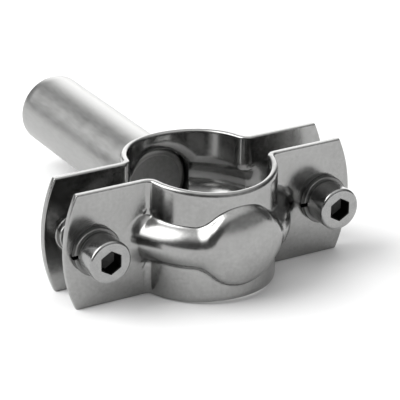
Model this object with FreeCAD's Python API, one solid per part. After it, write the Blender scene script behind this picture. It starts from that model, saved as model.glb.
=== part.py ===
"""Two-piece stamped pipe holder on a round stem. Millimetres, +Z up.

The pipe runs along Z through the origin, the stem runs out along +Y, and the
screw ears lie along X. The front half faces -Y and is shown opened.
"""

import FreeCAD, Part
import math
import os

V = FreeCAD.Vector

# Pipe and sheet
pipe_diameter = 38.0
sheet_thickness = 2.0
ear_height = 36.0
rim_draw_in = 1.0

# Gap between the ears
tight_gap = 3.0
opened_by = 8.5

# Corner between ring and ear, measured on the outside
corner_radius = 3.2

# Bead pressed round the ring
bead_width = 12.8
bead_depth = 4.2

# Dome pressed at the middle of the ring
dome_diameter = 24.9
dome_depth = 4.4
dome_shoulder = 3.7
dome_crown_radius = 28.0

# Ears
screw_spacing = 77.2
ear_corner_span = 88.6
ear_crown = 3.9

# Stem and its weld
stem_diameter = 22.8
stem_length = 68.0
stem_seat_chamfer = 0.8
stem_end_chamfer = 0.6
stem_end_recess = 2.0
stem_fit = 0.05
stem_seat_step = 0.2
weld_leg = 2.2
weld_rise = 3.0

# Screws, M8 with hexagon socket
screw_diameter = 8.0
screw_length = 25.0
screw_point = 1.0
head_diameter = 13.0
head_height = 8.0
head_edge = 0.8
socket_width = 6.0
socket_depth = 4.0
socket_chamfer = 0.35

# Holes and tapped collars
screw_clearance = 0.5
thread_clearance = 0.06
collar_diameter = 10.8
collar_height = 2.6
collar_edge = 0.3

# Spring washers
washer_diameter = 14.8
washer_thickness = 2.0
washer_clearance = 0.15
washer_split = 1.2
washer_split_lean = 20.0
washer_split_turn = 175.0

pipe_radius = pipe_diameter / 2
ring_radius = pipe_radius + sheet_thickness
ear_inside = tight_gap / 2
ear_outside = ear_inside + sheet_thickness
front_shift = -opened_by
dome_radius = dome_diameter / 2
dome_top = ring_radius + dome_depth
stem_start = dome_top - sheet_thickness - stem_end_recess
stem_seat_radius = stem_diameter / 2 - stem_seat_step


def line(a, b):
    return Part.makeLine(a, b)


def arc(a, middle, b):
    return Part.Arc(a, middle, b).toShape()


def rod(radius, y0, y1, x=0.0):
    """Round rod along Y."""
    return Part.makeCylinder(radius, y1 - y0, V(x, y0, 0), V(0, 1, 0))


def edges_at(solid, y):
    """Edges of a turned piece that lie in one plane across Y."""
    return [e for e in solid.Edges if abs(e.BoundBox.YMin - y) < 1e-6 and e.BoundBox.YLength < 1e-6]


def strip_form(offset):
    """Solid under the plain strip: ear, corner, ring, corner and ear in one section."""
    radius = ring_radius - offset
    corner = corner_radius + offset
    ear = ear_outside - offset
    reach = radius + corner
    angle = math.acos((ear + corner) / reach)
    foot_x = reach * math.sin(angle)
    half_x = foot_x - corner * math.sin(angle / 2)
    half_y = ear + corner - corner * math.cos(angle / 2)
    ring_x = radius * math.sin(angle)
    ring_y = radius * math.cos(angle)
    end_x = ear_corner_span / 2 + ear_crown + 1 + offset
    floor_y = -1 - offset
    half_height = ear_height / 2 + 1 + offset
    z = -half_height
    section = Part.Wire([
        line(V(-end_x, floor_y, z), V(-end_x, ear, z)),
        line(V(-end_x, ear, z), V(-foot_x, ear, z)),
        arc(V(-foot_x, ear, z), V(-half_x, half_y, z), V(-ring_x, ring_y, z)),
        arc(V(-ring_x, ring_y, z), V(0, radius, z), V(ring_x, ring_y, z)),
        arc(V(ring_x, ring_y, z), V(half_x, half_y, z), V(foot_x, ear, z)),
        line(V(foot_x, ear, z), V(end_x, ear, z)),
        line(V(end_x, ear, z), V(end_x, floor_y, z)),
        line(V(end_x, floor_y, z), V(-end_x, floor_y, z)),
    ])
    return Part.Face(section).extrude(V(0, 0, 2 * half_height))


def bead_form(offset):
    """Ring of round section whose crest stands the bead's depth above the strip."""
    section_radius = ((bead_width / 2) ** 2 + bead_depth ** 2) / (2 * bead_depth)
    circle = Part.Circle(V(0, 0, 0), V(0, -1, 0), section_radius - offset).toShape()
    circle.rotate(V(0, 0, 0), V(0, 1, 0), 180)
    circle.translate(V(ring_radius + bead_depth - section_radius, 0, 0))
    return Part.Face(Part.Wire(circle)).revolve(V(0, 0, 0), V(0, 0, 1), 180)


def dome_form(offset):
    """Round boss about the stem's axis: slightly crowned face, round shoulder, straight wall."""
    wall = dome_radius - offset
    shoulder = dome_shoulder - offset
    crown = dome_crown_radius - offset
    crown_y = dome_top - dome_crown_radius
    tilt = math.asin((dome_radius - dome_shoulder) / (dome_crown_radius - dome_shoulder))
    shoulder_x = dome_radius - dome_shoulder
    shoulder_y = crown_y + (dome_crown_radius - dome_shoulder) * math.cos(tilt)
    bend = (math.pi / 2 + tilt) / 2
    top = V(0, crown_y + crown, 0)
    crown_half = V(crown * math.sin(tilt / 2), crown_y + crown * math.cos(tilt / 2), 0)
    crown_end = V(crown * math.sin(tilt), crown_y + crown * math.cos(tilt), 0)
    shoulder_half = V(shoulder_x + shoulder * math.sin(bend), shoulder_y + shoulder * math.cos(bend), 0)
    shoulder_end = V(wall, shoulder_y, 0)
    profile = Part.Wire([
        arc(top, crown_half, crown_end),
        arc(crown_end, shoulder_half, shoulder_end),
        line(shoulder_end, V(wall, 0, 0)),
        line(V(wall, 0, 0), V(0, 0, 0)),
        line(V(0, 0, 0), top),
    ])
    return Part.Face(profile).revolve(V(0, 0, 0), V(0, 1, 0), 360)


def pressed_form(offset):
    """Strip, bead and dome together, bounded by the skin at this offset into the sheet."""
    form = strip_form(offset).fuse([bead_form(offset), dome_form(offset)])
    return form.removeSplitter()


def outline():
    """Outline of the stamping across X and Z: arched ends and rims drawn in over the ring."""
    corner_x = ear_corner_span / 2
    end_x = corner_x + ear_crown
    top = ear_height / 2
    middle = top - rim_draw_in
    edges = []
    for side in (1, -1):
        right = V(side * corner_x, 0, side * top)
        ring_start = V(side * ring_radius, 0, side * top)
        ring_end = V(-side * ring_radius, 0, side * top)
        left = V(-side * corner_x, 0, side * top)
        edges.append(arc(V(side * corner_x, 0, -side * top), V(side * end_x, 0, 0), right))
        edges.append(line(right, ring_start))
        edges.append(arc(ring_start, V(0, 0, side * middle), ring_end))
        edges.append(line(ring_end, left))
    return Part.Face(Part.Wire(edges)).extrude(V(0, 2 * dome_top, 0))


def stamped_half():
    """One stamping before its holes: the sheet left between the outer and the inner skin."""
    return pressed_form(0).cut(pressed_form(sheet_thickness)).common(outline())


def tapped_collar(x):
    """Collar drawn from the rear ear towards the front one, with its edge broken."""
    end = ear_inside - collar_height
    collar = rod(collar_diameter / 2, end, ear_inside + sheet_thickness / 2, x)
    return collar.makeChamfer(collar_edge, edges_at(collar, end))


def rear_half(blank):
    hole = stem_seat_radius + stem_fit
    half = blank.cut(rod(hole, pipe_radius - sheet_thickness, dome_top + 1))
    bore = screw_diameter / 2 + thread_clearance
    for side in (-1, 1):
        x = side * screw_spacing / 2
        half = half.fuse(tapped_collar(x))
        half = half.cut(rod(bore, ear_inside - collar_height - 1, ear_outside + 1, x))
    return half


def front_half(blank):
    half = blank
    hole = (screw_diameter + screw_clearance) / 2
    for side in (-1, 1):
        half = half.cut(rod(hole, ear_inside - 1, ear_outside + 1, side * screw_spacing / 2))
    half = half.mirror(V(0, 0, 0), V(0, 1, 0))
    half.translate(V(0, front_shift, 0))
    return half


def stem():
    """Round bar: seat turned down for the hole in the rear dome, both ends chamfered."""
    shoulder = ring_radius + weld_rise + stem_fit
    end = stem_start + stem_length
    seat = rod(stem_seat_radius, stem_start, shoulder)
    seat = seat.makeChamfer(stem_seat_chamfer, edges_at(seat, stem_start))
    bar = rod(stem_diameter / 2, shoulder, end)
    bar = bar.makeChamfer(stem_end_chamfer, edges_at(bar, end))
    return bar.fuse(seat)


def stem_weld():
    """Fillet weld that runs round the stem's seat, over the shoulder of the rear dome."""
    inner = stem_seat_radius + stem_fit
    toe = stem_diameter / 2 + weld_leg
    low = pipe_radius - sheet_thickness
    profile = Part.Wire([
        line(V(inner, low, 0), V(toe, low, 0)),
        line(V(toe, low, 0), V(toe, ring_radius, 0)),
        line(V(toe, ring_radius, 0), V(inner, ring_radius + weld_rise, 0)),
        line(V(inner, ring_radius + weld_rise, 0), V(inner, low, 0)),
    ])
    ring = Part.Face(profile).revolve(V(0, 0, 0), V(0, 1, 0), 360)
    return ring.cut(pressed_form(0))


def hexagon(width, y, x):
    """Hexagon face across X and Z with a corner at the top."""
    reach = width / math.sqrt(3)
    points = []
    for i in range(7):
        angle = math.radians(90 + 60 * i)
        points.append(V(x + reach * math.cos(angle), y, reach * math.sin(angle)))
    return Part.Face(Part.makePolygon(points))


def screw(side):
    """Cap screw: chamfered head, hexagon socket with a drilled point, plain shank for the thread."""
    x = side * screw_spacing / 2
    seat = front_shift - ear_outside - washer_thickness
    face = seat - head_height
    head = rod(head_diameter / 2, face, seat, x)
    head = head.makeChamfer(head_edge, edges_at(head, face))
    tip = seat + screw_length
    shank = rod(screw_diameter / 2, seat, tip, x)
    shank = shank.makeChamfer(screw_point, edges_at(shank, tip))
    socket = hexagon(socket_width, face, x).extrude(V(0, socket_depth, 0))
    drill = Part.makeCone(socket_width / 2, 0, socket_width / 4, V(x, face + socket_depth, 0), V(0, 1, 0))
    mouth_radius = socket_width / math.sqrt(3) + socket_chamfer / 2
    mouth_end = mouth_radius - socket_chamfer * 2
    mouth = Part.makeCone(mouth_radius, mouth_end, socket_chamfer * 2, V(x, face, 0), V(0, 1, 0))
    return head.fuse(shank).cut(socket.fuse(drill)).cut(mouth)


def washer(side):
    """Split spring washer, pressed flat between the head and the front ear."""
    x = side * screw_spacing / 2
    back = front_shift - ear_outside
    front = back - washer_thickness
    ring = rod(washer_diameter / 2, front, back, x)
    ring = ring.cut(rod(screw_diameter / 2 + washer_clearance, front - 1, back + 1, x))
    cut_length = 3 * washer_thickness
    split = Part.makeBox(washer_diameter, cut_length, washer_split, V(0, -cut_length / 2, -washer_split / 2))
    split.rotate(V(0, 0, 0), V(1, 0, 0), washer_split_lean)
    split.rotate(V(0, 0, 0), V(0, 1, 0), washer_split_turn)
    split.translate(V(x, (front + back) / 2, 0))
    return ring.cut(split)


def main():
    os.makedirs("parts", exist_ok=True)
    blank = stamped_half()
    pieces = {
        "rear_half": rear_half(blank),
        "front_half": front_half(blank),
        "stem": stem(),
        "stem_weld": stem_weld(),
        "screw_left": screw(-1),
        "screw_right": screw(1),
        "washer_left": washer(-1),
        "washer_right": washer(1),
    }
    for name, shape in pieces.items():
        if not shape.isValid() or len(shape.Solids) != 1:
            raise RuntimeError(name + " is not one sound solid")
        solid = shape.Solids[0]
        print(name, round(solid.Volume, 1))
        solid.exportStep(os.path.join("parts", name + ".step"))


main()
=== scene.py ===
"""Looks of a stamped pipe holder on a round stem: two clamp halves, bar, weld, screws and spring washers.

Sizes are in millimetres, as the pieces are measured on a bench, and each mesh is scaled to
metres once, when it is made. +Z runs along the pipe, +Y along the stem.
"""

import logging
import math
from dataclasses import dataclass, field
from enum import Enum
from typing import Any

import bmesh
import bpy
import numpy as np
from mathutils import Matrix, Vector
from numpy.typing import ArrayLike


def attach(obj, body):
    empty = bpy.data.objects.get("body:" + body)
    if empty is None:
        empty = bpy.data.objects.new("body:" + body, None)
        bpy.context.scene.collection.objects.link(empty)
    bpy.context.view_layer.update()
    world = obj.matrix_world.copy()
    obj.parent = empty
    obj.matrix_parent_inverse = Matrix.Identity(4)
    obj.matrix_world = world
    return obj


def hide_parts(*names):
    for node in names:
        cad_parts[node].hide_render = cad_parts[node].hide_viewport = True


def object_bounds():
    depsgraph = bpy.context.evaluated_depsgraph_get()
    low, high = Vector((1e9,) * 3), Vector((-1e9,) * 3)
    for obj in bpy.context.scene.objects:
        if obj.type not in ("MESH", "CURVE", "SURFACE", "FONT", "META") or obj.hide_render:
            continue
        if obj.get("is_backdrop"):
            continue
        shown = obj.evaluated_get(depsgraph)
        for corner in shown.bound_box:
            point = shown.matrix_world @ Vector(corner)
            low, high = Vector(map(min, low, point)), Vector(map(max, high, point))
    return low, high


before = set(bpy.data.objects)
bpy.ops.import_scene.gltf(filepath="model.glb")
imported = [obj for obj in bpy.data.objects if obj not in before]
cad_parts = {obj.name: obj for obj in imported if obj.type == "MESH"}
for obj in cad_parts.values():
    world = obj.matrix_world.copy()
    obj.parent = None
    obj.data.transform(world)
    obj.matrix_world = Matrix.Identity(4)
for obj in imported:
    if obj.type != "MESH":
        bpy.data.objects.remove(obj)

Array = np.ndarray
Rows = list[tuple[ArrayLike, ArrayLike]]
log = logging.getLogger("pipe_holder")
MM = 0.001
ALONG_STEM = np.array([0.0, 1.0, 0.0])


class Side(Enum):
    """Which of the two ears a fastener sits in, as the sign of its X."""

    LEFT = -1
    RIGHT = 1


class Half(Enum):
    """Which of the two stampings is meant."""

    REAR = "rear"
    FRONT = "front"


def linear_colour(code: str) -> tuple[float, float, float, float]:
    """Turn an sRGB hex code into linear red, green, blue and full alpha.

    Args:
        code: Colour such as "#A8A7A5".

    Returns:
        The colour as the shader reads it.
    """
    levels = [int(code[i:i + 2], 16) / 255 for i in (1, 3, 5)]
    linear = [v / 12.92 if v <= 0.04045 else ((v + 0.055) / 1.055) ** 2.4 for v in levels]
    return (linear[0], linear[1], linear[2], 1.0)


def add_node(tree: bpy.types.NodeTree, kind: str, inputs: dict[Any, Any],
             **settings: Any) -> bpy.types.Node:
    """Add one shader node with its settings, plain values and links.

    Args:
        tree: Node tree that takes the node.
        kind: Blender's type name of the node.
        inputs: Socket name or number against a plain value or the socket that feeds it.
        **settings: Attributes of the node itself.

    Returns:
        The new node.
    """
    node = tree.nodes.new(kind)
    for name, value in settings.items():
        setattr(node, name, value)
    for name, value in inputs.items():
        if isinstance(value, bpy.types.NodeSocket):
            tree.links.new(value, node.inputs[name])
        else:
            node.inputs[name].default_value = value
    return node


def direction(azimuth: float, elevation: float) -> Vector:
    """Unit direction seen from the holder, in degrees: azimuth is 0 in front and 90 at the right."""
    a, e = math.radians(azimuth), math.radians(elevation)
    return Vector((math.sin(a) * math.cos(e), -math.cos(a) * math.cos(e), math.sin(e)))


class Surface:
    """Gathers grids of computed points into one closed mesh."""

    def __init__(self) -> None:
        """Start with no points and no faces."""
        self.blocks: list[Array] = []
        self.faces: list[Array] = []
        self.count = 0

    def points(self, places: Array) -> Array:
        """Take in points.

        Args:
            places: Array of any shape that ends in x, y and z, in millimetres.

        Returns:
            The points' numbers, in the same shape without the last axis.
        """
        shape = places.shape[:-1]
        total = int(np.prod(shape))
        self.blocks.append(places.reshape(-1, 3))
        self.count += total
        return np.arange(self.count - total, self.count).reshape(shape)

    def grid(self, index: Array, keep: Array | None = None) -> None:
        """Join neighbouring points of a grid by four-sided faces.

        Args:
            index: Point numbers in rows and columns.
            keep: Which of the cells are made, or None for all of them.
        """
        cells = np.stack([index[:-1, :-1], index[1:, :-1], index[1:, 1:], index[:-1, 1:]], axis=-1)
        self.faces.append(cells.reshape(-1, 4) if keep is None else cells[keep])

    def rings(self, index: Array) -> None:
        """Join closed rings of points, each to the next, where a row is one ring."""
        self.grid(np.concatenate([index, index[:, :1]], axis=1))

    def cap(self, ring: Array, pole: ArrayLike) -> None:
        """Close a ring with a fan about one point.

        Args:
            ring: Point numbers of the ring.
            pole: Place of the fan's middle, in millimetres.
        """
        middle = self.points(np.asarray(pole, float).reshape(1, 3))[0]
        following = np.roll(ring, -1)
        self.faces.append(np.stack([ring, following, np.full_like(ring, middle)], axis=-1))

    def tube(self, places: Array, first: ArrayLike, last: ArrayLike) -> None:
        """Join rings of points and close both ends by fans about a first and a last middle."""
        rings = self.points(places)
        self.rings(rings)
        self.cap(rings[0], first)
        self.cap(rings[-1], last)

    def mesh(self, name: str) -> bpy.types.Mesh:
        """Make one mesh of all points and faces, in metres."""
        mesh = bpy.data.meshes.new(name)
        faces = [face for block in self.faces for face in block.tolist()]
        mesh.from_pydata((np.concatenate(self.blocks) * MM).tolist(), [], faces)
        return mesh

    def finished(self, name: str, body: str, replaced: str,
                 crease: float | None = None) -> bpy.types.Object:
        """Make the mesh, turn its faces outwards and stand it in for its CAD node.

        Args:
            name: Name of the new piece.
            body: Body that it rides on.
            replaced: CAD node that it stands for.
            crease: Angle in degrees above which an edge stays crisp, or None for all smooth.

        Returns:
            The finished object.
        """
        mesh = self.mesh(name)
        work = bmesh.new()
        work.from_mesh(mesh)
        bmesh.ops.recalc_face_normals(work, faces=work.faces)
        work.to_mesh(mesh)
        work.free()
        mesh.shade_smooth()
        if crease is not None:
            mesh.set_sharp_from_angle(angle=math.radians(crease))
        piece = bpy.data.objects.new(name, mesh)
        bpy.context.scene.collection.objects.link(piece)
        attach(piece, body)
        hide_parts(replaced)
        log.info("%s: %d faces on body %s", name, len(mesh.polygons), body)
        return piece


def round_union(a: Array, b: Array, radius: float | Array) -> Array:
    """Distance to two forms joined with a hollow round between them.

    Where both forms are nearer than the radius, the result is the radius less the length of the
    two shortfalls taken as the sides of a right angle. Elsewhere it is the smaller distance.

    Args:
        a: Signed distances to the first form.
        b: Signed distances to the second form.
        radius: Radius of the round in millimetres, one for all points or one for each.

    Returns:
        Signed distances to the joined form.
    """
    short = np.hypot(np.maximum(radius - a, 0), np.maximum(radius - b, 0))
    return np.maximum(radius, np.minimum(a, b)) - short


def xyz(x: ArrayLike, y: ArrayLike, z: ArrayLike) -> Array:
    """Points from their coordinates, each an array or one number for all of them."""
    return np.stack(np.broadcast_arrays(x, y, z), axis=-1)


def onward(start: float, stop: float, count: int) -> Array:
    """Equal steps from a start to a stop, without the start."""
    return np.linspace(start, stop, count + 1)[1:]


def full_turn(count: int) -> Array:
    """Angles once round in equal steps, from +X."""
    return np.linspace(0, 2 * math.pi, count, endpoint=False)


def turned(radius: ArrayLike, y: ArrayLike, angle: Array, x: float = 0.0) -> Array:
    """Points about an axis along Y that stands at X, by radius, Y and angle from +X towards +Z."""
    return xyz(x + radius * np.cos(angle), y, radius * np.sin(angle))


def lathe(rows: Rows, angle: Array, x: float = 0.0) -> Array:
    """Rings about an axis along Y.

    Args:
        rows: Radius and Y of each ring, each one number or a value for every angle.
        angle: Angles round the axis.
        x: X of the axis.

    Returns:
        Points in rings.
    """
    return np.stack([turned(radius, y, angle, x) for radius, y in rows])


def arc_rows(radius: float, y: float, turn: float, start: float, stop: float,
             steps: int) -> list[tuple[float, float]]:
    """Radius and Y along a round edge.

    Args:
        radius: Radius of the edge's centre from the axis.
        y: Y of the edge's centre.
        turn: Radius of the edge itself.
        start: First angle in degrees, from the axis outwards towards +Y.
        stop: Last angle in degrees.
        steps: How many pieces the arc is cut into.

    Returns:
        The rows, with both ends.
    """
    angles = np.radians(np.linspace(start, stop, steps + 1))
    return [(radius + turn * math.cos(a), y + turn * math.sin(a)) for a in angles]


def first_end(faces: int, around: int, rings: int) -> Array:
    """Which faces close the first end of a turned piece.

    Args:
        faces: How many faces the piece has, with the fans of its two ends last.
        around: How many faces go once round.
        rings: How many of the first rings of faces count to the end.

    Returns:
        True for each face of those rings and of the first fan.
    """
    number = np.arange(faces)
    fan = faces - 2 * around
    return (number < rings * around) | ((number >= fan) & (number < fan + around))


@dataclass(frozen=True)
class PressedForm:
    """Form of one stamping: strip with ears, bead round the ring and dome at its middle.

    It stands as the rear half does, round the pipe's axis, with its ears along X and its dome
    towards +Y. A skin is where the signed distance at its depth into the sheet is zero. The round
    at the bead's foot grows from foot_round to end_round over end_span from end_from on. The round
    between bead and dome is full only beyond the dome's face, and face_least of it is left there.
    """

    pipe_radius: float = 19.0
    thickness: float = 2.0
    half_height: float = 18.0
    draw_in: float = 1.0
    ear_inside: float = 1.5
    ear_corner: float = 44.3
    ear_crown: float = 3.9
    corner_radius: float = 1.8
    bead_half_width: float = 6.4
    bead_depth: float = 4.2
    dome_radius: float = 12.45
    dome_depth: float = 4.4
    dome_shoulder: float = 3.7
    dome_crown: float = 28.0
    foot_round: float = 0.45
    end_round: float = 2.2
    end_from: float = 19.0
    end_span: float = 5.0
    inner_foot: float = 1.9
    bead_turn: float = 61.0
    bead_easing: float = 24.0
    pinch_height: float = 0.07
    pinch_at: tuple[float, float] = (22.0, 8.2)
    pinch_spread: tuple[float, float] = (0.9, 1.6)
    pinch_waves: tuple[tuple[float, float], ...] = ((3.1, 2.3), (-1.9, 3.7))
    bead_to_dome_round: float = 2.4
    face_radius: float = 8.0
    face_edge: float = 4.5
    face_least: float = 0.02
    reach: float = 8.0
    halvings: int = 34

    @property
    def ring_radius(self) -> float:
        """Outside radius of the ring."""
        return self.pipe_radius + self.thickness

    @property
    def ear_outside(self) -> float:
        """Y of the ear's outer face."""
        return self.ear_inside + self.thickness

    @property
    def bead_section(self) -> float:
        """Radius of the bead's round section, from its half width and its depth."""
        return (self.bead_half_width ** 2 + self.bead_depth ** 2) / (2 * self.bead_depth)

    def ring_y(self, x: Array) -> Array:
        """Y of the ring's outside at X."""
        return np.sqrt(self.ring_radius ** 2 - x ** 2)

    def strip(self, x: Array, y: Array, depth: float) -> Array:
        """Distance to the plain strip: ring and flat ear, with a hollow corner between them."""
        radius = self.ring_radius - depth
        ear = self.ear_outside - depth
        corner = self.corner_radius + depth
        angle = math.acos((ear + corner) / (radius + corner))
        centre_x = (radius + corner) * math.sin(angle)
        side = np.abs(x)
        ring = np.hypot(side, y) - radius
        round_corner = corner - np.hypot(side - centre_x, y - ear - corner)
        in_corner = (side < centre_x) & (np.arctan2(side, y) > angle)
        return np.where(in_corner, round_corner, np.minimum(ring, y - ear))

    def bead(self, x: Array, y: Array, z: Array, depth: float) -> Array:
        """Distance to the bead: a round section carried round the ring, then straight on to the ear.

        Over the angle a of bead_easing the path's bend dies away as a smooth step of s = passed / a,
        which twice summed is a^2 (s^4 / 4 - s^5 / 10). After it the path is straight, and a^2 / 40
        makes the two parts meet.
        """
        centre = self.ring_radius + self.bead_depth - self.bead_section
        easing = math.radians(self.bead_easing)
        passed = np.arctan2(np.abs(x), y) - math.radians(self.bead_turn) + easing / 2
        share = np.clip(passed / easing, 0, 1)
        eased = easing ** 2 * (share ** 4 / 4 - share ** 5 / 10)
        straight = easing ** 2 / 40 + 1 - np.cos(passed - easing / 2)
        out = np.hypot(x, y) * (1 - np.where(passed > easing, straight, eased))
        return np.hypot(out - centre, z) - (self.bead_section - depth)

    def dome(self, x: Array, y: Array, z: Array, depth: float) -> Array:
        """Distance to the dome: crowned face, round shoulder and straight wall about the stem's axis."""
        out = np.hypot(x, z)
        top = self.ring_radius + self.dome_depth
        crown_y = top - self.dome_crown
        shoulder_at = self.dome_radius - self.dome_shoulder
        span = self.dome_crown - self.dome_shoulder
        tilt = math.asin(shoulder_at / span)
        shoulder_y = crown_y + span * math.cos(tilt)
        crown = np.hypot(out, y - crown_y) - (self.dome_crown - depth)
        shoulder = np.hypot(out - shoulder_at, y - shoulder_y) - (self.dome_shoulder - depth)
        wall = out - (self.dome_radius - depth)
        on_crown = np.arctan2(out, y - crown_y) < tilt
        return np.where(on_crown, crown, np.where(y > shoulder_y, shoulder, wall))

    def pinch(self, x: Array, z: Array) -> Array:
        """Height of the small wrinkles where ear, ring and bead meet: two waves under a soft spot."""
        (at_x, at_z), (spread_x, spread_z) = self.pinch_at, self.pinch_spread
        spot = np.exp(-((np.abs(x) - at_x) / spread_x) ** 2 - ((np.abs(z) - at_z) / spread_z) ** 2)
        (first_x, first_z), (second_x, second_z) = self.pinch_waves
        waves = np.sin(first_x * np.abs(x) + first_z * z) + np.sin(second_z * z + second_x * x)
        return self.pinch_height * spot * waves

    def distance(self, places: Array, depth: float) -> Array:
        """Signed distance to the skin at one depth into the sheet.

        Args:
            places: Points, in an array that ends in x, y and z.
            depth: Depth of the skin below the outer face.

        Returns:
            Distances, positive on the outer side.
        """
        x, y, z = places[..., 0], places[..., 1], places[..., 2]
        beyond_face = np.clip((np.hypot(x, z) - self.face_radius) / self.face_edge, self.face_least, 1)
        raised = round_union(self.bead(x, y, z, depth), self.dome(x, y, z, depth),
                             self.bead_to_dome_round * beyond_face)
        towards_ear = np.clip((np.abs(x) - self.end_from) / self.end_span, 0, 1)
        foot = self.foot_round + (self.end_round - self.foot_round) * towards_ear
        plain = self.strip(x, y, depth) - self.pinch(x, z)
        return round_union(plain, raised, foot + self.inner_foot * depth)

    def press(self, start: Array, way: Array, depth: float) -> Array:
        """Slide each point along its own way until it lies on the skin, by halving a span about it.

        Args:
            start: Points near the skin.
            way: Unit directions that point out of the sheet.
            depth: Depth of the skin below the outer face.

        Returns:
            The points on the skin.
        """
        low = np.full(start.shape[:-1], -self.reach)
        high = np.full(start.shape[:-1], self.reach)
        for _ in range(self.halvings):
            middle = (low + high) / 2
            outside = self.distance(start + way * middle[..., None], depth) > 0
            high = np.where(outside, middle, high)
            low = np.where(outside, low, middle)
        return start + way * high[..., None]

    def top(self, x: Array) -> Array:
        """Half height of the strip at X: level along the ears, drawn in by an arc over the ring."""
        radius = (self.ring_radius ** 2 + self.draw_in ** 2) / (2 * self.draw_in)
        along = np.minimum(np.abs(x), self.ring_radius)
        return self.half_height - self.draw_in + radius - np.sqrt(radius ** 2 - along ** 2)

    def end(self, z: Array) -> Array:
        """X of the ear's arched end at height z."""
        radius = (self.half_height ** 2 + self.ear_crown ** 2) / (2 * self.ear_crown)
        return self.ear_corner + self.ear_crown - radius + np.sqrt(radius ** 2 - z ** 2)


@dataclass
class StampedHalf:
    """One clamp half as a closed sheet with rounded rims, pierced ears and the stem's hole at the rear.

    The rim's round narrows from ring_rim to ear_rim between two shares of the ring's radius. Rows
    above level_up_to follow the strip's top. Blocks are half the width and height of the cells that
    give way to a hole's rings, which at the dome crowd towards the hole by a power.
    """

    half: Half
    form: PressedForm
    opened_by: float = 8.5
    ray_corner: float = 8.0
    plain_from: float = 28.6
    ring_steps: int = 190
    corner_steps: int = 34
    flat_steps: int = 6
    ear_steps: int = 22
    rim_steps: int = 5
    ring_rim: float = 0.9
    ear_rim: float = 0.45
    rim_narrows: tuple[float, float] = (0.8, 1.15)
    level_up_to: float = 12.0
    outer_roll: float = 1.8
    inner_roll: float = 0.7
    hole_x: float = 38.6
    hole_radius: float = 4.25
    tapped_radius: float = 4.06
    collar_radius: float = 5.4
    collar_height: float = 2.6
    hole_edge: float = 0.3
    stem_hole: float = 11.25
    ear_block: tuple[float, float] = (7.2, 8.3)
    dome_block: tuple[float, float] = (15.2, 14.7)
    dome_rings: int = 14
    dome_crowding: float = 1.5
    wall_rings: int = 6
    wall_shares: tuple[float, float] = (0.06, 0.94)
    heights: Array = field(init=False)

    def __post_init__(self) -> None:
        """Work out the heights of the rows, closer together at the feet of bead and dome."""
        levels = [0.0, 5.2, 7.6, 11.0, 13.6, 17.0]
        steps = [14, 11, 8, 8, 7]
        upper = np.concatenate([np.linspace(a, b, n, endpoint=False)
                                for a, b, n in zip(levels[:-1], levels[1:], steps)] + [[levels[-1]]])
        self.heights = np.concatenate([-upper[:0:-1], upper])

    def stations(self) -> tuple[Array, Array]:
        """Carrier of the rows from the middle of the ring to the plain part of the right ear.

        The carrier is the strip's own section with a wider corner, so that the ways out of it
        never meet before they reach the bead.

        Returns:
            The carrier's points in X and Y, and the angle of the way out, from +Y towards +X.
        """
        form = self.form
        turn = math.acos((form.ear_outside + self.ray_corner) / (form.ring_radius + self.ray_corner))
        foot = (form.ring_radius + self.ray_corner) * math.sin(turn)
        ring = np.linspace(0, turn, self.ring_steps // 2)
        bend = onward(turn, 0, self.corner_steps)
        flat = onward(foot, self.plain_from, self.flat_steps)
        x = np.concatenate([form.ring_radius * np.sin(ring), foot - self.ray_corner * np.sin(bend), flat])
        y = np.concatenate([form.ring_radius * np.cos(ring),
                            form.ear_outside + self.ray_corner * (1 - np.cos(bend)),
                            np.full(len(flat), form.ear_outside)])
        angle = np.concatenate([ring, bend, np.zeros(len(flat))])
        return np.stack([x, y], axis=-1), angle

    def section(self) -> tuple[Array, Array, Array]:
        """Closed loop across the sheet: outer face, top rim, inner face and bottom rim.

        Returns:
            Level, and as shares of the rim's radius how far a point lies past the level and
            below the nearer face, which is negative where that is the inner one.
        """
        quarter = onward(0, math.pi / 2, self.rim_steps)
        top = self.heights[-1]
        level = np.concatenate([self.heights, np.full(2 * self.rim_steps, top), self.heights[::-1],
                                np.full(2 * self.rim_steps, -top)])
        past = np.concatenate([np.sin(quarter), np.sin(quarter)[::-1]])
        sunk = np.concatenate([1 - np.cos(quarter), -(1 - np.cos(quarter))[::-1]])
        still = np.zeros(len(self.heights))
        just_below = np.full(len(self.heights), -1e-9)
        return (level,
                np.concatenate([still, past, still, -past]),
                np.concatenate([still, sunk, just_below, -sunk]))

    def points(self) -> tuple[Array, Array]:
        """All points of the sheet's loops, from the left ear's end to the right ear's.

        Returns:
            Points in rows of one loop each, and the X of each loop at mid-height.
        """
        form = self.form
        carrier, angle = self.stations()
        level, past, sunk = self.section()
        quarter = onward(0, math.pi / 2, self.rim_steps)
        share = np.concatenate([onward(0, 1, self.ear_steps), np.ones(self.rim_steps)])
        end_past = np.concatenate([np.zeros(self.ear_steps), np.sin(quarter)]) * self.ear_rim
        end_sunk = np.concatenate([np.zeros(self.ear_steps), 1 - np.cos(quarter)]) * self.ear_rim
        end_sunk = np.concatenate([np.zeros(len(angle)), end_sunk])

        rim = np.interp(carrier[:, 0], form.ring_radius * np.array(self.rim_narrows),
                        [self.ring_rim, self.ear_rim])
        rim = np.concatenate([rim, np.full(len(share), self.ear_rim)])[:, None]
        top = np.concatenate([form.top(carrier[:, 0]), np.full(len(share), form.half_height)])[:, None]
        inner_level = self.heights[-1]
        fade = np.clip((np.abs(level) - self.level_up_to) / (inner_level - self.level_up_to), 0, 1)
        rolled = self.inner_roll + (self.outer_roll - self.inner_roll) * (sunk >= 0)
        rims = [self.ear_rim, self.ring_rim]
        rise = rim * np.interp(rim, rims, [1, 0]) + rolled * rim * np.interp(rim, rims, [0, 1])
        z = level + np.sign(level) * fade * (top - rise - inner_level) + past * rise

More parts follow.
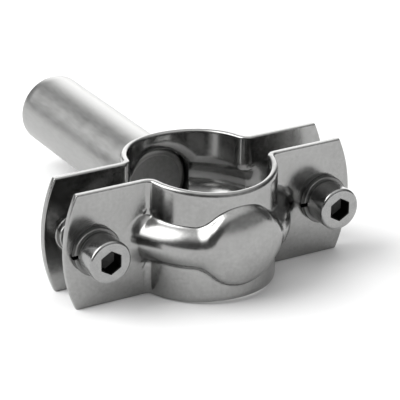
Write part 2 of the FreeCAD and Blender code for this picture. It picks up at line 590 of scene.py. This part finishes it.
        ear_span = form.end(z[-len(share):]) - self.ear_rim - self.plain_from
        x = np.concatenate([np.repeat(carrier[:, :1], len(level), axis=1),
                            self.plain_from + share[:, None] * ear_span + end_past[:, None]])
        y = np.concatenate([carrier[:, 1], np.full(len(share), form.ear_outside)])[:, None]
        turn = np.concatenate([angle, np.zeros(len(share))])[:, None]
        start, way = xyz(x, y, z), xyz(np.sin(turn), np.cos(turn), 0.0)
        outer = form.press(start, way, 0.0)
        inner = form.press(start, way, form.thickness)
        from_outer = np.where(sunk >= 0, sunk * rim, form.thickness + sunk * rim)
        squeeze = end_sunk[:, None]
        depth = squeeze + from_outer / form.thickness * (form.thickness - 2 * squeeze)
        right = outer + (inner - outer) * (depth / form.thickness)[..., None]
        left = right[:0:-1] * np.array([-1.0, 1.0, 1.0])
        loops = np.concatenate([left, right])
        return loops, loops[:, len(self.heights) // 2, 0]

    def block(self, x: Array, middle: float,
              half_sides: tuple[float, float]) -> tuple[int, int, int, int]:
        """Rows and columns of the block of cells that a hole's own rings take the place of.

        Args:
            x: X of each loop at mid-height.
            middle: X of the block's middle.
            half_sides: Half the block's width and height.

        Returns:
            First and last loop, first and last row.
        """
        i = np.nonzero(np.abs(x - middle) <= half_sides[0])[0]
        j = np.nonzero(np.abs(self.heights) <= half_sides[1])[0]
        return int(i[0]), int(i[-1]), int(j[0]), int(j[-1])

    def mirror_row(self, j: Array) -> Array:
        """Column of the inner face that lies under a column of the outer face."""
        return 2 * len(self.heights) + 2 * self.rim_steps - 1 - j

    @staticmethod
    def perimeter(block: tuple[int, int, int, int]) -> tuple[Array, Array]:
        """Loop and row numbers of a block's edge, once round."""
        i0, i1, j0, j1 = block
        wide, high = i1 - i0, j1 - j0
        i = [np.arange(i0, i1), np.full(high, i1), np.arange(i1, i0, -1), np.full(high, i0)]
        j = [np.full(wide, j0), np.arange(j0, j1), np.full(wide, j1), np.arange(j1, j0, -1)]
        return np.concatenate(i), np.concatenate(j)

    def ear_hole(self, edge: Array, x: float) -> Array:
        """Rings from the outer face through one ear hole to the inner face.

        Args:
            edge: Places of the block's edge on the outer face.
            x: X of the hole's axis.

        Returns:
            Points in rings, without the block's edges.
        """
        out, back, e = self.form.ear_outside, self.form.ear_inside, self.hole_edge
        rear = self.half is Half.REAR
        bore = self.tapped_radius if rear else self.hole_radius
        end = back - (self.collar_height if rear else 0)
        profile = [(bore + 2 * e, out), (bore + e, out), (bore, out - e), (bore, out - 2 * e),
                   (bore, end + 2 * e), (bore, end + e), (bore + e, end)]
        if rear:
            collar = self.collar_radius
            profile += [(collar - 1.5 * e, end), (collar - 0.5 * e, end + 0.2 * e), (collar, end + e),
                        (collar, back - 1.5 * e), (collar + 0.3 * e, back - 0.4 * e),
                        (collar + 1.5 * e, back)]
        else:
            profile.append((bore + 2 * e, back))
        angle = np.arctan2(edge[:, 2], edge[:, 0] - x)
        radius = np.hypot(edge[:, 2], edge[:, 0] - x)
        rows = [(radius + (profile[0][0] - radius) * share, out) for share in (0.4, 0.75)]
        rows += profile
        rows += [(radius + (profile[-1][0] - radius) * share, back) for share in (0.75, 0.4)]
        return lathe(rows, angle, x)

    def dome_hole(self, edge: Array) -> Array:
        """Rings from the outer skin through the stem's hole to the inner skin.

        Their ways out turn from the block's, away from the pipe's axis, to the stem's own.

        Args:
            edge: Places of the block's edge on the outer skin.

        Returns:
            Points in rings, without the block's edges.
        """
        form = self.form
        angle = np.arctan2(edge[:, 2], edge[:, 0])
        end_start = turned(self.stem_hole, form.ring_y(self.stem_hole * np.cos(angle)), angle)
        away = np.arctan2(edge[:, 0], edge[:, 1])
        first_way = xyz(np.sin(away), np.cos(away), 0.0)
        first_start = form.ring_radius * first_way + xyz(0.0, 0.0, edge[:, 2])
        left = 1 - onward(0, 1, self.dome_rings)
        share = (1 - left ** self.dome_crowding)[:, None, None]
        start = first_start + (end_start - first_start) * share
        way = first_way + (ALONG_STEM - first_way) * share
        way /= np.linalg.norm(way, axis=-1, keepdims=True)
        top = form.press(start, way, 0.0)
        under = form.press(start, way, form.thickness)[::-1]
        through = np.linspace(*self.wall_shares, self.wall_rings)[:, None, None]
        return np.concatenate([top, top[-1] + (under[0] - top[-1]) * through, under])

    def build(self) -> bpy.types.Object:
        """Build the half in its place, with the front one turned about and moved out."""
        surface = Surface()
        loops, x = self.points()
        index = surface.points(loops)
        keep = np.ones((len(loops) - 1, loops.shape[1]), bool)
        rear = self.half is Half.REAR
        holes = [-self.hole_x, self.hole_x]
        blocks = [self.block(x, hole, self.ear_block) for hole in holes]
        if rear:
            blocks.append(self.block(x, 0.0, self.dome_block))
        for number, block in enumerate(blocks):
            i, j = self.perimeter(block)
            i0, i1, j0, j1 = block
            keep[i0:i1, j0:j1] = False
            keep[i0:i1, self.mirror_row(j1):self.mirror_row(j0)] = False
            edge = loops[i, j]
            places = self.ear_hole(edge, holes[number]) if number < len(holes) else self.dome_hole(edge)
            outer, inner = index[i, j], index[i, self.mirror_row(j)]
            surface.rings(np.concatenate([outer[None], surface.points(places), inner[None]]))
        surface.grid(np.concatenate([index, index[:, :1]], axis=1), keep)
        total = loops.shape[1]
        up = np.arange(-self.rim_steps, len(self.heights) + self.rim_steps)
        for row in (index[0], index[-1]):
            surface.grid(np.stack([row[up % total], row[self.mirror_row(up) % total]]))
        if not rear:
            for block in surface.blocks:
                block[:, 1] = -block[:, 1] - self.opened_by
        return surface.finished(self.half.value + "_clamp_half", self.half.value,
                                self.half.value + "_half")


@dataclass
class StemBar:
    """Round bar with a rounded seat in the rear dome, seen in the ring, and a chamfered outer end."""

    radius: float = 11.4
    seat_radius: float = 11.2
    shoulder: float = 24.05
    start: float = 21.4
    length: float = 68.0
    edge_round: float = 2.4
    chamfer: float = 0.6
    around: int = 160
    end_rings: int = 4

    def build(self) -> bpy.types.Object:
        """Turn the bar's profile about the stem's axis, face to face."""
        angle = full_turn(self.around)
        end = self.start + self.length
        r, e, c = self.radius, self.edge_round, self.chamfer
        seat = self.seat_radius
        rows = [(share * (seat - e), self.start) for share in (0.3, 0.6, 0.85, 0.97)]
        rows += arc_rows(seat - e, self.start + e, e, -90, 0, 8)
        rows += [(seat, self.shoulder - 0.3), (seat, self.shoulder - 0.02), (seat + 0.02, self.shoulder),
                 (r - 0.02, self.shoulder), (r, self.shoulder + 0.02), (r, self.shoulder + 0.6)]
        rows += [(r, self.start + share * self.length) for share in (0.1, 0.2, 0.4, 0.6, 0.8, 0.95)]
        rows += [(r, end - c * 1.15), (r - c * 0.08, end - c * 0.9), (r - c * 0.9, end - c * 0.08),
                 (r - c * 1.15, end)]
        rows += [(share * (r - c), end) for share in (0.9, 0.6, 0.3)]
        surface = Surface()
        surface.tube(lathe(rows, angle), [0, self.start, 0], [0, end, 0])
        return surface.finished("stem_bar", "rear", "stem")

    def inner_end(self, faces: int) -> Array:
        """Which faces lie on the end that is seen in the ring."""
        return first_end(faces, self.around, self.end_rings)


@dataclass
class WeldBead:
    """Fillet weld round the stem, laid in overlapping ripples on the shoulder of the rear dome.

    Its unevenness is slow waves round the stem, each with a height, a count and a start. The toe
    takes a share of them, ripples bow back by an angle, and side_share of the belly goes sideways.
    """

    form: PressedForm
    inner_radius: float = 11.25
    toe_radius: float = 13.6
    rise: float = 3.0
    ripple: float = 1.3
    ripple_depth: float = 0.035
    ripple_bow: float = 2.4
    waves: tuple[tuple[float, int, float], ...] = ((0.12, 5, 0.6), (0.08, 11, 2.0))
    toe_wander: float = 0.6
    side_share: float = 0.5
    crown: float = 0.3
    cover: float = 0.12
    sunk: float = 0.6
    around: int = 420
    across: int = 14

    def build(self) -> bpy.types.Object:
        """Carry the weld's section round the stem, its toes on the bar and on the pressed skin."""
        form = self.form
        angle = full_turn(self.around)
        wander = sum(height * np.sin(count * angle + start) for height, count, start in self.waves)
        toe = self.toe_radius + wander * self.toe_wander
        skin = form.press(turned(toe, form.ring_y(toe * np.cos(angle)), angle), ALONG_STEM, 0.0)
        high = form.ring_radius + self.rise + wander
        share = np.linspace(0, 1, self.across + 1)[:, None]
        radius = self.inner_radius + (toe - self.inner_radius) * share
        y = high + (skin[:, 1] - high) * share
        cover = form.press(turned(radius, form.ring_radius, angle), ALONG_STEM, 0.0)[..., 1]
        ripples = round(2 * math.pi * self.inner_radius / self.ripple)
        wave = np.cos(ripples * angle + self.ripple_bow * (1 - 4 * (share - 0.5) ** 2))
        belly = np.sin(math.pi * share)
        swell = belly * (self.crown + self.ripple_depth * wave)
        y = np.maximum(y + swell, cover + self.cover * belly)
        radius = radius + swell * self.side_share
        top = turned(radius, y, angle)
        sunk = top[[-1, 0]] - self.sunk * ALONG_STEM
        surface = Surface()
        rings = surface.points(np.concatenate([top, sunk]))
        surface.rings(np.concatenate([rings, rings[:1]]))
        return surface.finished("weld_bead", "rear", "stem_weld")


@dataclass
class CapScrew:
    """Socket head cap screw, threaded to the head, seen with its head towards -Y.

    The neck is how far it stands out of the shank at each step from the seat. The head's side is
    level over its height less side_less.
    """

    side: Side
    spacing: float = 77.2
    seat: float = -14.0
    length: float = 25.0
    radius: float = 3.97
    pitch: float = 1.25
    thread_depth: float = 0.7
    groove_share: float = 0.09
    flank_share: float = 0.33
    runout: float = 1.5
    neck: tuple[tuple[float, float], ...] = ((0.6, 0.0), (0.15, 0.05))
    thread_from: float = 0.3
    point: float = 1.0
    head_radius: float = 6.5
    head_height: float = 8.0
    side_less: float = 1.2
    head_round: float = 0.8
    foot_round: float = 0.35
    socket_width: float = 6.0
    socket_depth: float = 4.0
    mouth: float = 0.25
    around: int = 96
    rings_in_pitch: int = 12
    floor_rings: int = 2
    socket_rings: int = 9

    def head_rows(self, angle: Array) -> Rows:
        """Rings from the bottom of the socket out over the face and down the head's side."""
        flat = self.socket_width / 2
        within = (angle + math.pi / 6) % (math.pi / 3) - math.pi / 6
        hexagon = flat / np.cos(within)
        face = self.seat - self.head_height
        floor = face + self.socket_depth
        mouth = hexagon + self.mouth
        mouth_y = face + self.mouth
        rows: Rows = [(flat * 0.5, floor + flat * 0.25), (flat * 0.96, floor + 0.02)]
        rows += [(hexagon * 0.985, floor), (hexagon, floor - 0.06)]
        rows += [(hexagon, floor + (mouth_y - floor) * share) for share in (0.3, 0.6, 0.9)]
        rows += [(hexagon, mouth_y), ((hexagon + mouth) / 2, face + self.mouth / 2), (mouth, face + 0.01)]
        rows += [(mouth + 0.05, face)]
        edge = self.head_radius - self.head_round
        rows += [(mouth + (edge - mouth) * share, face) for share in (0.3, 0.65, 0.93)]
        rows += arc_rows(edge, face + self.head_round, self.head_round, -90, 0, 8)
        rows += [(self.head_radius, face + self.head_round + (self.head_height - self.side_less) * share)
                 for share in (0.1, 0.35, 0.6, 0.85)]
        foot = self.foot_round
        return rows + arc_rows(self.head_radius - foot, self.seat - foot, foot, 0, 90, 3)

    def thread_rows(self, angle: Array) -> Rows:
        """Rings of the thread, where a groove climbs by the pitch with each turn of the angle."""
        count = int(self.length / self.pitch * self.rings_in_pitch)
        rows: Rows = [(self.radius + out, self.seat + along) for out, along in self.neck]
        for along in np.linspace(self.thread_from, self.length, count):
            phase = (along / self.pitch + angle / (2 * math.pi)) % 1.0
            tooth = np.clip((np.abs(phase - 0.5) - self.groove_share) / self.flank_share, 0, 1)
            runout = min(1.0, along / self.runout)
            radius = self.radius - self.thread_depth * (1 - tooth) * runout
            point = self.radius - self.point + (self.length - along)
            rows.append((np.minimum(radius, point), self.seat + along))
        return rows

    def build(self) -> bpy.types.Object:
        """Turn the rings about the screw's own axis and close both ends."""
        angle = full_turn(self.around)
        x = self.side.value * self.spacing / 2
        name = self.side.name.lower()
        rows = self.head_rows(angle) + self.thread_rows(angle)
        bottom = self.seat - self.head_height + self.socket_depth + self.socket_width / 4
        surface = Surface()
        surface.tube(lathe(rows, angle, x), [x, bottom, 0], [x, self.seat + self.length, 0])
        return surface.finished(name + "_cap_screw", name + "_screw", "screw_" + name, crease=35)

    def socket_walls(self, faces: int) -> Array:
        """Which faces are the socket's walls and its bevelled mouth: the rings after its floor's."""
        number = np.arange(faces)
        return (number >= self.floor_rings * self.around) & (number < self.socket_rings * self.around)

    def socket_floor(self, faces: int) -> Array:
        """Which faces are the socket's floor."""
        return first_end(faces, self.around, self.floor_rings)


@dataclass
class SpringWasher:
    """Split spring washer of squared wire, closed flat, with its corners rounded."""

    side: Side
    spacing: float = 77.2
    front: float = -14.0
    thickness: float = 2.0
    outer: float = 7.4
    inner: float = 4.15
    corner: float = 0.3
    split: float = 1.2
    lean: float = 20.0
    turn: float = 175.0
    around: int = 150

    def build(self) -> bpy.types.Object:
        """Carry the wire's rounded square section round from one slanted end to the other."""
        c = self.corner
        low, high, far = self.inner + c, self.outer - c, self.thickness - c
        corners = [(low, c, 180, 270), (high, c, 270, 360), (high, far, 0, 90), (low, far, 90, 180)]
        section = np.array([row for r, y, a, b in corners for row in arc_rows(r, y, c, a, b, 4)])
        x = self.side.value * self.spacing / 2
        middle = (self.inner + self.outer) / 2
        lean = math.tan(math.radians(self.lean))
        gap = self.split / 2 / section[:, 0] / math.cos(math.radians(self.lean))
        slant = (section[:, 1] - self.thickness / 2) * lean / middle
        start = math.radians(-self.turn) + gap + slant
        stop = math.radians(-self.turn) + 2 * math.pi - gap + slant
        share = np.linspace(0, 1, self.around + 1)[:, None]
        angle = start + (stop - start) * share
        places = turned(section[:, 0], self.front + section[:, 1], angle, x)
        surface = Surface()
        surface.tube(places, places[0].mean(0), places[-1].mean(0))
        name = self.side.name.lower()
        return surface.finished(name + "_spring_washer", "front", "washer_" + name, crease=40)


@dataclass(frozen=True)
class SteelFinish:
    """Stainless steel with one surface.

    Its colour drifts to the smudge and its roughness by the swing. Grain, cloud and relief are
    sizes in millimetres, and bump is a share of the relief.
    """

    name: str
    colour: str
    smudge: str
    roughness: float
    swing: float
    grain: tuple[float, float, float]
    bump: float
    cloud: float = 5.0
    relief: float = 0.02

    def material(self) -> bpy.types.Material:
        """Make the node material.

        Returns:
            A metal whose brightness and roughness drift in soft clouds and a grain of real size.
        """
        material = bpy.data.materials.new(self.name)
        material.use_nodes = True
        tree = material.node_tree
        tree.nodes.clear()
        place = add_node(tree, "ShaderNodeTexCoord", {}).outputs["Object"]
        clouds = add_node(tree, "ShaderNodeTexNoise",
                          {"Vector": place, "Scale": 1 / (self.cloud * MM), "Detail": 4.0,
                           "Roughness": 0.6})
        scale = tuple(1 / (size * MM) for size in self.grain)
        stretched = add_node(tree, "ShaderNodeMapping", {"Vector": place, "Scale": scale})
        grain = add_node(tree, "ShaderNodeTexNoise",
                         {"Vector": stretched.outputs["Vector"], "Scale": 1.0, "Detail": 1.0,
                          "Roughness": 0.5})
        both = add_node(tree, "ShaderNodeMath", {0: clouds.outputs["Fac"], 1: grain.outputs["Fac"]},
                        operation="ADD")
        roughness = add_node(tree, "ShaderNodeMapRange",
                             {"Value": both.outputs[0], "From Min": 0.7, "From Max": 1.3,
                              "To Min": self.roughness - self.swing,
                              "To Max": self.roughness + self.swing})
        dirt = add_node(tree, "ShaderNodeMapRange",
                        {"Value": both.outputs[0], "From Min": 0.75, "From Max": 1.25,
                         "To Min": 0.0, "To Max": 1.0})
        colour = add_node(tree, "ShaderNodeMix",
                          {0: dirt.outputs["Result"], 6: linear_colour(self.smudge),
                           7: linear_colour(self.colour)}, data_type="RGBA")
        bump = add_node(tree, "ShaderNodeBump", {"Height": grain.outputs["Fac"], "Strength": self.bump,
                                                 "Distance": self.relief * MM})
        shader = add_node(tree, "ShaderNodeBsdfPrincipled",
                          {"Base Color": colour.outputs[2], "Metallic": 1.0,
                           "Roughness": roughness.outputs["Result"], "Normal": bump.outputs["Normal"]})
        add_node(tree, "ShaderNodeOutputMaterial", {"Surface": shader.outputs["BSDF"]})
        return material


# Sheet, cold rolled, pressed and tumbled: bright, with slightly clouded reflections.
TUMBLED_SHEET = SteelFinish("stainless_sheet_tumbled", "#9E9E9D", "#939392", 0.2, 0.035,
                            (1.1, 1.1, 1.1), 0.12, 8.0)
# Bar, ground along its length: satin, so that highlights spread into wide soft bands.
GROUND_BAR = SteelFinish("stainless_bar_ground", "#A6A6A5", "#9F9F9E", 0.34, 0.03,
                         (0.8, 4.0, 0.8), 0.1, 8.0)
# End of the bar in the ring, sawn: its colour is darker than its side as painted shade for the dark
# recess of the ring round it.
SAWN_END = SteelFinish("stainless_bar_sawn", "#8A8A89", "#7F7F7E", 0.42, 0.04,
                       (1.2, 1.2, 1.2), 0.08, 8.0)
# Screw, cold headed and passivated: smooth, a little greyer than the sheet.
HEADED_SCREW = SteelFinish("stainless_screw_passivated", "#A0A09F", "#909090", 0.18, 0.05,
                           (0.4, 0.4, 0.4), 0.25, 2.5)
# Walls and bevelled mouth of the socket: nearly black in colour as painted shade for the deep hollow, and
# dull by their roughness.
SOCKET_WALL = SteelFinish("stainless_socket_oily", "#2C2C2C", "#1E1E1E", 0.45, 0.1,
                          (0.5, 1.2, 0.5), 0.3, 1.5)
# Floor of the socket, torn by the punch: matt, so that it catches a little light.
SOCKET_FLOOR = SteelFinish("stainless_socket_torn", "#868685", "#6A6A69", 0.8, 0.1,
                           (0.6, 0.6, 0.6), 0.3, 1.5)
# Spring wire, coiled and blasted: duller than the screw by its roughness, and darker in colour as painted
# shade under the screw's head.
SPRING_WIRE = SteelFinish("stainless_spring_wire", "#7A7A79", "#6A6A69", 0.34, 0.06,
                          (0.3, 0.3, 0.3), 0.3, 2.0)
# Weld metal, pickled: matt grey on its ripples.
PICKLED_WELD = SteelFinish("stainless_weld_pickled", "#9C9B99", "#8A8886", 0.36, 0.08,
                           (0.25, 0.25, 0.25), 0.5, 1.5)


@dataclass(frozen=True)
class LightPatch:
    """Soft round patch of light on the studio's walls, as a lamp behind cloth gives.

    It is at its full level within the core and fades out towards the edge, both as angles seen
    from the holder.
    """

    name: str
    azimuth: float
    elevation: float
    core: float
    edge: float
    level: float


@dataclass
class Studio:
    """Pale floor, soft light and the camera."""

    wall_top: float = 0.45
    wall_level: float = 0.12
    ceiling_level: float = 1.2
    patches: tuple[LightPatch, ...] = (
        LightPatch("left", -112, 38, 13, 38, 4.6),
        LightPatch("back_right", 148, 10, 6, 36, 2.4),
        LightPatch("front", 25, 12, 8, 50, 0.3),
    )

    azimuth: float = -30.83
    elevation: float = 24.19
    roll: float = 1.10
    focal_px: float = 2392.1
    distance: float = 707.0
    aim_y: float = -4.25
    aim_px: tuple[float, float] = (197.78, 213.37)
    image_px: float = 400.0
    sensor: float = 36.0
    clip: tuple[float, float] = (0.01, 20.0)
    floor_rings: tuple[float, ...] = (100.0, 400.0, 3000.0)
    floor_around: int = 64

    def camera(self) -> None:
        """Place the camera so that the point midway between the halves falls on its pixel."""
        roll = math.radians(self.roll)
        back = direction(self.azimuth, self.elevation)
        level = direction(self.azimuth + 90, 0)
        upright = back.cross(level)
        right = math.cos(roll) * level + math.sin(roll) * upright
        up = -math.sin(roll) * level + math.cos(roll) * upright
        per_px = self.distance / self.focal_px
        off_x = (self.aim_px[0] - self.image_px / 2) * per_px
        off_y = (self.aim_px[1] - self.image_px / 2) * per_px
        place = Vector((0, self.aim_y, 0)) + self.distance * back - off_x * right + off_y * up
        data = bpy.data.cameras.new("camera")
        data.sensor_width = self.sensor
        data.lens = self.sensor * self.focal_px / self.image_px
        data.clip_start, data.clip_end = self.clip
        camera = bpy.data.objects.new("camera", data)
        bpy.context.scene.collection.objects.link(camera)
        turn = Matrix((right, up, back)).transposed().to_4x4()
        camera.matrix_world = Matrix.Translation(place * MM) @ turn
        bpy.context.scene.camera = camera

    def floor(self) -> None:
        """Lay the floor under the holder's lower rims, as one round sheet of rings."""
        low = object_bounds()[0][2] / MM
        surface = Surface()
        angle = full_turn(self.floor_around)
        x, y = (np.outer(self.floor_rings, part) for part in (np.cos(angle), np.sin(angle)))
        rings = surface.points(xyz(x, y, low))
        surface.rings(rings)
        surface.cap(rings[0], [0, 0, low])
        mesh = surface.mesh("floor")
        floor = bpy.data.objects.new("floor", mesh)
        bpy.context.scene.collection.objects.link(floor)
        material = bpy.data.materials.new("matt_white_board")
        material.use_nodes = True
        shader = material.node_tree.nodes["Principled BSDF"]
        shader.inputs["Base Color"].default_value = linear_colour("#F7F7F7")
        shader.inputs["Roughness"].default_value = 0.9
        shader.inputs["Specular IOR Level"].default_value = 0.0
        mesh.materials.append(material)
        floor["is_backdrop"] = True

    def sky(self) -> None:
        """Light the room from all round: dim at the table, with soft patches of light above it."""
        world = bpy.data.worlds.new("studio")
        world.use_nodes = True
        tree = world.node_tree
        tree.nodes.clear()
        way = add_node(tree, "ShaderNodeTexCoord", {}).outputs["Generated"]
        parts = add_node(tree, "ShaderNodeSeparateXYZ", {"Vector": way})
        level = add_node(tree, "ShaderNodeMapRange",
                         {"Value": parts.outputs["Z"], "From Min": self.wall_top, "From Max": 1.0,
                          "To Min": self.wall_level, "To Max": self.ceiling_level},
                         interpolation_type="SMOOTHSTEP").outputs["Result"]
        for patch in self.patches:
            middle = direction(patch.azimuth, patch.elevation)
            facing = add_node(tree, "ShaderNodeVectorMath", {0: way, 1: middle}, operation="DOT_PRODUCT")
            edge, core = (math.cos(math.radians(angle)) for angle in (patch.edge, patch.core))
            glow = add_node(tree, "ShaderNodeMapRange",
                            {"Value": facing.outputs["Value"], "From Min": edge, "From Max": core,
                             "To Min": 0.0, "To Max": patch.level}, interpolation_type="SMOOTHSTEP")
            level = add_node(tree, "ShaderNodeMath", {0: level, 1: glow.outputs["Result"]},
                             operation="ADD").outputs[0]
            log.info("light patch %s: level %.1f", patch.name, patch.level)
        light = add_node(tree, "ShaderNodeBackground", {"Color": level, "Strength": 1.0})
        add_node(tree, "ShaderNodeOutputWorld", {"Surface": light.outputs["Background"]})
        bpy.context.scene.world = world

    def build(self) -> None:
        """Set up floor, light, camera and the plain colour transform."""
        self.floor()
        self.sky()
        self.camera()
        bpy.context.scene.view_settings.view_transform = "Standard"


def dress(piece: bpy.types.Object, material: bpy.types.Material) -> None:
    """Give one piece its material."""
    piece.data.materials.clear()
    piece.data.materials.append(material)


def dress_faces(piece: bpy.types.Object, material: bpy.types.Material, chosen: Array) -> None:
    """Give some faces of a piece a further material.

    Args:
        piece: The piece, already dressed.
        material: Material of the chosen faces.
        chosen: True for each face that takes it, in the mesh's order.
    """
    piece.data.materials.append(material)
    number = np.zeros(len(chosen), np.int32)
    piece.data.polygons.foreach_get("material_index", number)
    number[chosen] = len(piece.data.materials) - 1
    piece.data.polygons.foreach_set("material_index", number)


def main() -> None:
    """Build the pieces in the order in which the holder is assembled, then the studio."""
    logging.basicConfig(level=logging.INFO, format="%(message)s")
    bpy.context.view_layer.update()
    form = PressedForm()
    sheet = TUMBLED_SHEET.material()
    for half in Half:
        dress(StampedHalf(half, form).build(), sheet)
    stem = StemBar()
    bar = stem.build()
    dress(bar, GROUND_BAR.material())
    # The bar's end in the ring gets a darker colour: painted shade of the recess round it.
    dress_faces(bar, SAWN_END.material(), stem.inner_end(len(bar.data.polygons)))
    dress(WeldBead(form).build(), PICKLED_WELD.material())
    screw_steel, wall_steel = HEADED_SCREW.material(), SOCKET_WALL.material()
    floor_steel, wire = SOCKET_FLOOR.material(), SPRING_WIRE.material()
    for side in Side:
        screw = CapScrew(side)
        piece = screw.build()
        dress(piece, screw_steel)
        # The socket's walls and mouth get a nearly black colour: painted shade of the hollow.
        dress_faces(piece, wall_steel, screw.socket_walls(len(piece.data.polygons)))
        dress_faces(piece, floor_steel, screw.socket_floor(len(piece.data.polygons)))
        # The washer's darker colour is painted shade under the screw's head.
        dress(SpringWasher(side).build(), wire)
    Studio().build()


if __name__ == "__main__":
    main()
